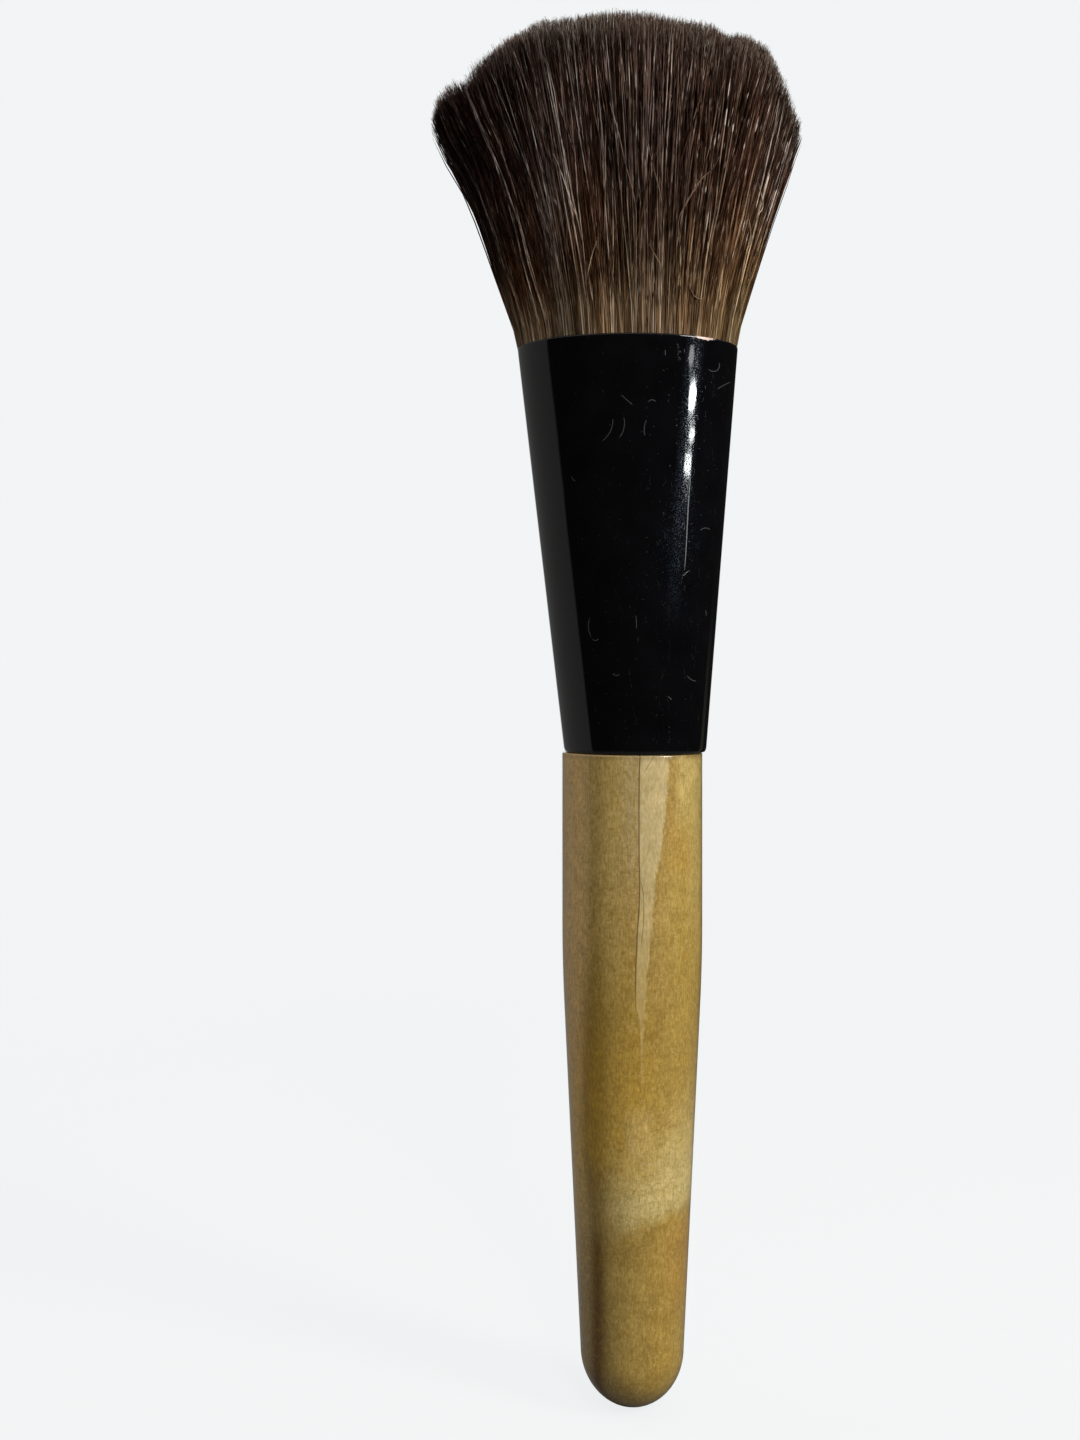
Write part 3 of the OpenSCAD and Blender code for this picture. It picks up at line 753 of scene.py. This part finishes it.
def rooted_hairs(w):
    """Straight hairs, each with its place in the mouth as a point of the unit disc."""
    given = w.given
    line = w.get("GeometryNodeCurvePrimitiveLine", {"Start": (0, 0, 0), "End": (0, 0, 1)})
    line = w.get("GeometryNodeResampleCurve", {0: line, "Count": given["Steps"] + 1.0})
    hairs = w.get("GeometryNodeDuplicateElements", {0: line, "Amount": given["Hairs"]}, domain="SPLINE")

    ring = w.calc("SQRT", w.between(w.chance(), given["Inner share"] ** 2.0, given["Outer share"] ** 2.0))
    turn = w.between(w.chance(), given["First turn"], given["Last turn"]) * FULL_TURN
    hairs = w.keep(hairs, "u", ring * w.calc("COSINE", turn))
    hairs = w.keep(hairs, "v", ring * w.calc("SINE", turn))
    return w.keep(hairs, "tone", w.chance())


def bunched(w, hairs):
    """The hairs with how far each leans to the middle of its lock and wisp, and how far it strays."""
    spot = w.joined(w.kept("u"), w.kept("v"))
    lean = (0.0, 0.0, 0.0)
    for bunch in ("Lock", "Wisp"):
        cells = {"Vector": spot, "Scale": w.given[bunch + "s across"] / 2.0}
        cells = w.outputs("ShaderNodeTexVoronoi", cells, voronoi_dimensions="2D")
        pull = w.scaled(w.vector("SUBTRACT", cells["Position"], spot), w.given[bunch + " pull"])
        lean = w.vector("ADD", lean, pull)
        hairs = w.keep(hairs, bunch.lower() + "_tone", w.parts(cells["Color"])[0])
    lean_u, lean_v, _ = w.parts(lean)
    hairs = w.keep(hairs, "lean_u", lean_u)
    hairs = w.keep(hairs, "lean_v", lean_v)
    bunch_reach = w.kept("lock_tone") + w.kept("wisp_tone") - 1.0
    short = w.chance() * w.chance(0.0, 2.2)
    hairs = w.keep(hairs, "reach", bunch_reach * 0.6 + 0.5 - short)
    hairs = w.keep(hairs, "drift_u", w.chance(-1.0, 1.0) * w.chance() ** 2.2)
    return w.keep(hairs, "drift_v", w.chance(-1.0, 1.0) * w.chance() ** 2.2)


def hair_tip(w, u, v):
    """Place of each hair's tip: drawn to the middle of its lock, strayed, and kept in the outline."""
    given = w.given
    tip_u = w.kept("lean_u") + (w.kept("drift_u") * given["Stray"] + u)
    tip_v = w.kept("lean_v") + (w.kept("drift_v") * given["Stray"] + v)
    brim = w.between(w.kept("wisp_tone"), 0.95, 1.0)
    held = brim / w.most(w.vector("LENGTH", w.joined(tip_u, tip_v)), brim)
    tip_u, tip_v = tip_u * held, tip_v * held
    open_v = w.calc("SQRT", w.most(1.0 - tip_u * tip_u, 0.01))
    off_ridge = w.least(abs(tip_v / open_v), 1.0)
    cap = (1.0 - off_ridge ** given["Dome squareness"]) ** DOME_EDGE
    ridge = open_v * -given["Front lift"] + w.follow(tip_u, TOP_LINE)
    low = w.between(open_v * off_ridge, given["Side height"], given["Front height"])
    rise = w.kept("reach") * given["Unevenness"] + w.between(cap, w.least(low, ridge), ridge)
    return w.joined(tip_u * given["Tuft half-width"] + given["Tuft shift"], tip_v * given["Tuft half-depth"],
                    rise + given["Mouth height"])


def hair_place(w, out):
    """Place of each point of a hair. Out is its share of the way from the mouth to the tip."""
    given = w.given
    u, v = w.kept("u"), w.kept("v")
    mouth = w.joined(u * given["Mouth half-width"] + given["Mouth shift"], v * given["Mouth half-depth"],
                     given["Mouth height"])
    path = w.vector("SUBTRACT", hair_tip(w, u, v), mouth)
    bow = w.between(w.rise(u, -0.8, 0.8), given["Left flare"], given["Right flare"])
    # The left side is hollow below the lock that stands out at its top
    hollow = w.rise(u, -0.3, -0.85) * w.rise(out, 0.25, 0.6) * w.rise(out, 0.9, 0.75)
    flare = hollow * -HOLLOW_DEPTH + w.most(out, 0.0) ** bow
    place = w.vector("ADD", mouth, w.vector("MULTIPLY", path, w.joined(flare, flare, out)))
    field = w.joined(u * 4.0, v * 4.0, w.kept("tone") * 8.0 + out * 3.6)
    sway = w.vector("SUBTRACT", w.noise(field, 1.0, 1.0, output=1), (0.5, 0.5, 0.5))
    sway = w.vector("MULTIPLY", sway, (2.0, 2.0, 0.0))
    sway = w.scaled(sway, w.rise(out, 0.0, 0.6) * given["Waviness"])
    # The outermost hairs rest on the rim's lip
    lip = w.rise(out, -0.005, 0.035) * w.vector("LENGTH", w.joined(u, v)) ** 10.0
    return w.vector("ADD", w.vector("ADD", place, sway), w.scaled(w.joined(u, v), lip * LIP_SPREAD))


def lock_tree(material):
    """Geometry Nodes tree that grows hairs, in millimetres, from the ferrule's mouth to the tuft's top."""
    tree = bpy.data.node_groups.new("lock of hair", "GeometryNodeTree")
    tree.is_modifier = True
    for way in ("OUTPUT", "INPUT"):
        tree.interface.new_socket("Geometry", in_out=way, socket_type="NodeSocketGeometry")
    sockets = {}
    for kind, inputs in (("NodeSocketInt", LOCK_COUNTS), ("NodeSocketFloat", LOCK_SIZES)):
        for name, value in inputs.items():
            item = tree.interface.new_socket(name, in_out="INPUT", socket_type=kind)
            item.default_value = value
            sockets[name] = item.identifier

    w = HairWiring(tree)
    hairs = bunched(w, rooted_hairs(w))
    along = w.get("GeometryNodeSplineParameter", output="Factor")
    out = w.between(along, w.given["Start share"], 1.0)
    hairs = w.get("GeometryNodeSetPosition", {0: hairs, "Position": w.scaled(hair_place(w, out), MM)})
    hairs = w.keep(hairs, "along", w.most(out, 0.0), "POINT")
    thick = w.given["Hair radius"] * w.between(w.kept("tone"), 0.7, 1.3) * w.follow(along, HAIR_TAPER) * MM
    section = w.get("GeometryNodeCurvePrimitiveCircle", {"Resolution": 3, "Radius": 1.0})
    body = w.get("GeometryNodeCurveToMesh", {0: hairs, 1: section, "Scale": thick, "Fill Caps": True})
    body = w.get("GeometryNodeRealizeInstances", {0: body})
    w.add("NodeGroupOutput", {0: w.get("GeometryNodeSetMaterial", {0: body, "Material": material})})
    return tree, sockets


def plain_mesh(name, holder, **settings):
    """What an object shows, as a mesh piece of its own. The object goes."""
    shown = bpy.context.evaluated_depsgraph_get()
    mesh = bpy.data.meshes.new_from_object(holder.evaluated_get(shown), depsgraph=shown, **settings)
    holder.modifiers.clear()
    bpy.data.objects.remove(holder)
    mesh.name = name
    mesh.shade_smooth()
    return placed(name, mesh)


def grown(name, tree, sockets, **sizes):
    """The tree's hairs, with these inputs. Words in an input's name are joined by underscores."""
    holder = placed(name + "_form", bpy.data.meshes.new(name + "_form"))
    modifier = holder.modifiers.new("growth", "NODES")
    modifier.node_group = tree
    for key, value in sizes.items():
        modifier[sockets[key.replace("_", " ").capitalize()]] = value
    return plain_mesh(name, holder, preserve_all_data_layers=True)


# Single hairs that lie across the front of the tuft, each through places (across, up)
LOOSE_HAIRS = [
    [(4.7, 70.4), (4.6, 71.3), (4.15, 72.6), (5.4, 74.7), (6.65, 76.9), (7.6, 77.9), (8.6, 78.6),
     (9.0, 79.8)],
    [(1.2, 70.2), (1.95, 69.0), (2.3, 68.5), (2.7, 67.9), (2.6, 66.9)],
    [(5.6, 66.9), (6.0, 65.9), (6.4, 65.1), (7.0, 64.7), (7.7, 64.9)],
    [(14.0, 78.3), (14.4, 77.3), (15.0, 76.5), (14.8, 75.6), (14.1, 75.0)],
    [(12.9, 74.4), (13.6, 73.0), (13.5, 71.8), (12.9, 71.0)],
    [(-3.4, 84.5), (-2.2, 81.2), (-1.9, 78.6), (-0.6, 75.8), (-0.3, 73.4)],
    [(-9.6, 79.8), (-8.2, 77.2), (-7.9, 75.0), (-6.9, 73.2)],
    [(9.4, 87.6), (8.2, 84.4), (8.4, 81.6), (7.3, 78.8)],
    [(-4.6, 70.6), (-5.5, 68.9), (-5.4, 67.3), (-6.1, 66.0)],
    [(0.9, 80.6), (1.3, 78.1), (2.4, 76.0), (2.6, 74.2)],
]
LOOSE_TONE, LOOSE_RADIUS, LOOSE_END = 0.94, 0.07, 0.4


def front_of_tuft(across, up):
    """How far forward the tuft's front stands at a place, in millimetres."""
    out = (up - MOUTH_Z) / SIDE_HEIGHT
    half_width = BUNDLE_HALF_WIDTH + (TUFT_WIDTH / 2 - BUNDLE_HALF_WIDTH) * out
    half_depth = BUNDLE_HALF_DEPTH + (TUFT_DEPTH / 2 - BUNDLE_HALF_DEPTH) * min(out, 1.0)
    middle = MOUTH_SHIFT + (TUFT_SHIFT - MOUTH_SHIFT) * out
    return -half_depth * math.sqrt(max(1 - ((across - middle) / half_width) ** 2, 0))


def laid_hairs(name, paths, radius, material):
    drawn = bpy.data.curves.new(name, "CURVE")
    drawn.dimensions, drawn.bevel_depth, drawn.bevel_resolution = "3D", radius * MM, 0
    drawn.use_fill_caps = True
    for path in paths:
        spline = drawn.splines.new("NURBS")
        spline.points.add(len(path) - 1)
        spline.use_endpoint_u, spline.order_u, spline.resolution_u = True, 4, 4
        for point, (across, up) in zip(spline.points, path):
            point.co = (across * MM, front_of_tuft(across, up) * MM, up * MM, 1.0)
        spline.points[0].radius = spline.points[-1].radius = LOOSE_END
    piece = plain_mesh(name, placed(name + "_form", drawn))
    mesh = piece.data
    levels = {"along": [(v.co.z / MM - MOUTH_Z) / SIDE_HEIGHT for v in mesh.vertices]}
    for attribute in ("tone", "lock_tone", "wisp_tone"):
        levels[attribute] = [LOOSE_TONE] * len(mesh.vertices)
    for attribute, values in levels.items():
        mesh.attributes.new(attribute, "FLOAT", "POINT").data.foreach_set("value", values)
    mesh.materials.clear()
    mesh.materials.append(material)
    return piece


# The brush

handle = turned_handle()
handle.data.materials.append(wood())
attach(handle, "root")
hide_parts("handle")

ferrule = pressed_ferrule()
ferrule.data.materials.append(enamel())
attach(ferrule, "root")
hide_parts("ferrule")

hair = hair_finish()
tree, sockets = lock_tree(hair)
LOCKS = {
    "hair_heart": dict(hairs=8000, seed=1, steps=3, inner_share=0.0, outer_share=0.84, hair_radius=0.1),
    "hair_front_left": dict(hairs=3900, seed=2, steps=8, first_turn=0.5, last_turn=0.62),
    "hair_front_mid_left": dict(hairs=5100, seed=3, first_turn=0.62, last_turn=0.75),
    "hair_front_mid_right": dict(hairs=5100, seed=4, first_turn=0.75, last_turn=0.88),
    "hair_front_right": dict(hairs=5100, seed=7, first_turn=0.88, last_turn=1.0),
    "hair_back_right": dict(hairs=5200, seed=5, first_turn=0.0, last_turn=0.25),
    "hair_back_left": dict(hairs=5200, seed=6, first_turn=0.25, last_turn=0.5),
}
for name, sizes in LOCKS.items():
    lock = grown(name, tree, sockets, **sizes)
    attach(lock, "root")
    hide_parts("hair_tuft")
loose = laid_hairs("loose_hairs", LOOSE_HAIRS, LOOSE_RADIUS, hair)
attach(loose, "root")
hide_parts("hair_tuft")

FILLINGS = {
    "root_binding": thread_finish(),
    "resin_plug": filling_finish("amber resin", (0.5, 0.33, 0.1), (0.62, 0.45, 0.17), 0.25),
    "handle_glue": filling_finish("set cream glue", (0.66, 0.6, 0.44), (0.76, 0.71, 0.56), 0.6),
}
for node, material in FILLINGS.items():
    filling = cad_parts[node]
    filling.data.materials.clear()
    filling.data.materials.append(material)


# Studio

PALE_GROUND = (0.887, 0.905, 0.913, 1.0)
KEY_COLOUR, FILL_COLOUR, SPARK_COLOUR = (1.0, 0.97, 0.93), (1.0, 0.95, 0.9), (0.96, 1.0, 1.0)
FLOOR_RADIUS, FADE_START, FADE_END = 340.0, 90.0, 330.0


def turn_round(w, x, y):
    """Turn round the brush in degrees: 0 towards the camera's side, positive to the right."""
    return w.calc("ARCTAN2", x, -y) * (360 / FULL_TURN)


def straight_behind(w, turn):
    """Share of the surroundings that stands right behind the brush."""
    return w.rise(abs(turn), 164.0, 170.0)


def pale_share(w, ray, behind):
    """Where the pale ground shows: to the camera, and to gloss as far as it looks behind the brush."""
    gloss = w.most(ray["Is Glossy Ray"], ray["Is Transmission Ray"])
    return w.most(ray["Is Camera Ray"], gloss * behind)


def studio_air():
    """Pale ground for the camera. All else sees a dark room with a pale wall left and a soft ceiling."""
    world = bpy.data.worlds.new("studio air")
    bpy.context.scene.world = world
    world.use_nodes = True
    w = Wiring(world.node_tree)
    ground = w.tree.nodes["Background"]
    w.fill(ground, {"Color": PALE_GROUND})
    x, y, z = w.parts(w.get("ShaderNodeTexCoord", output="Generated"))
    turn = turn_round(w, x, y)
    wall = w.rise(turn, -75.0, -79.0) * w.rise(turn, -190.0, -90.0, 0.45, 1.0)
    slit = w.rise(turn, 124.0, 127.0) * w.rise(turn, 139.0, 136.0) * w.rise(z, 0.02, -0.14)
    level = slit * 0.1 + (wall * 0.25 + 0.012)
    level = w.between(w.rise(z, 0.38, 0.72), level, 0.55)
    warmth = w.blend(slit, (1.0, 0.985, 0.96), (1.0, 0.85, 0.5))
    air = w.get("ShaderNodeBackground", {"Color": warmth, "Strength": level})
    shown = pale_share(w, w.outputs("ShaderNodeLightPath"), straight_behind(w, turn))
    both = w.get("ShaderNodeMixShader", {0: shown, 1: air, 2: Value(w, ground.outputs[0])})
    w.fill(w.tree.nodes["World Output"], {"Surface": both})


def floor_finish():
    material, w, _ = finish_material("pale studio floor")
    w.tree.nodes.clear()
    place = place_in_mm(w)
    ray = w.outputs("ShaderNodeLightPath")
    tint = w.blend(ray["Is Camera Ray"], (0.16, 0.16, 0.16), (0.8, 0.81, 0.815))
    board = w.get("ShaderNodeBsdfDiffuse", {"Color": tint})
    plain = w.get("ShaderNodeEmission", {"Color": PALE_GROUND, "Strength": 1.05})
    turn = turn_round(w, *w.parts(place)[:2])
    behind = w.most(straight_behind(w, turn), w.rise(turn, -80.0, -85.0, 0.0, 0.1))
    seen = w.get("ShaderNodeMixShader", {0: pale_share(w, ray, behind) * 0.87, 1: board, 2: plain})
    gone = w.get("ShaderNodeBsdfTransparent")
    away = w.rise(w.vector("LENGTH", place), FADE_START, FADE_END)
    w.add("ShaderNodeOutputMaterial", {"Surface": w.get("ShaderNodeMixShader", {0: away, 1: seen, 2: gone})})
    return material


def studio_floor():
    sides = 96
    radii = [FLOOR_RADIUS * share for share in (0.1, 0.4, 0.7, 1.0)]
    rings = [oval(r, r, 0.0, sides) for r in radii]
    floor = ringed_mesh("studio_floor", rings[::-1], top_pole=(0, 0, 0))
    floor.location.z = cad_box[0].z
    floor.data.materials.append(floor_finish())


def lamp(name, turn, rise, distance, size, power, colour, glossy=True, aim=20.0, spread=180.0):
    """Area lamp aimed at a height of the brush. Rise and turn, as in turn_round, are in degrees."""
    data = bpy.data.lights.new(name, "AREA")
    data.shape = "ELLIPSE"
    data.size, data.size_y = size[0] * MM, size[1] * MM
    data.spread = math.radians(spread)
    # A narrow beam is brighter for the same power, so that is taken off
    half = math.radians(spread) / 2
    data.energy = power * (1 - half / math.tan(half)) if spread < 180.0 else power
    data.color = colour
    light = placed(name, data)
    a, e = math.radians(turn), math.radians(rise)
    away = Vector((math.sin(a) * math.cos(e), -math.cos(a) * math.cos(e), math.sin(e)))
    light.location = (Vector((0.0, 0.0, aim)) + away * distance) * MM
    light.rotation_euler = away.to_track_quat("Z", "Y").to_euler()
    light.visible_glossy = glossy


def studio_camera():
    data = bpy.data.cameras.new("studio camera")
    data.sensor_fit = "VERTICAL"
    data.sensor_height = 36.0
    data.lens = 39.17
    data.shift_y = -0.0389
    data.clip_start, data.clip_end = 0.01, 10.0
    camera = placed("studio camera", data)
    camera.location = Vector((-11.04, -188.0, 23.0)) * MM
    camera.rotation_euler = (math.pi / 2, 0.0, 0.0)
    bpy.context.scene.camera = camera


studio_air()
studio_floor()
studio_camera()
lamp("soft key", 58, 30, 700, (260, 260), 2.9, KEY_COLOUR)
lamp("front fill", 14, 34, 600, (180, 160), 1.5, KEY_COLOUR, glossy=False, aim=45.0, spread=44.0)
lamp("left fill", -115, 40, 400, (200, 200), 0.25, FILL_COLOUR, glossy=False, aim=50.0, spread=50.0)
# Small lamps whose reflections are the bright spots down the ferrule: turn, rise, size and power
SPARKS = [(55, 11.6, (54, 18), 0.015), (59, 9.05, (90, 11.0), 0.145), (61, 7.45, (75, 2.4), 0.038),
          (58, 6.35, (88, 2.0), 0.04), (62, 4.0, (12, 60), 0.01), (60, 7.4, (9, 60), 0.004)]
for turn, rise, size, power in SPARKS:
    lamp("spark", turn, rise, 600, size, power, SPARK_COLOUR)

bpy.context.scene.view_settings.view_transform = "Standard"
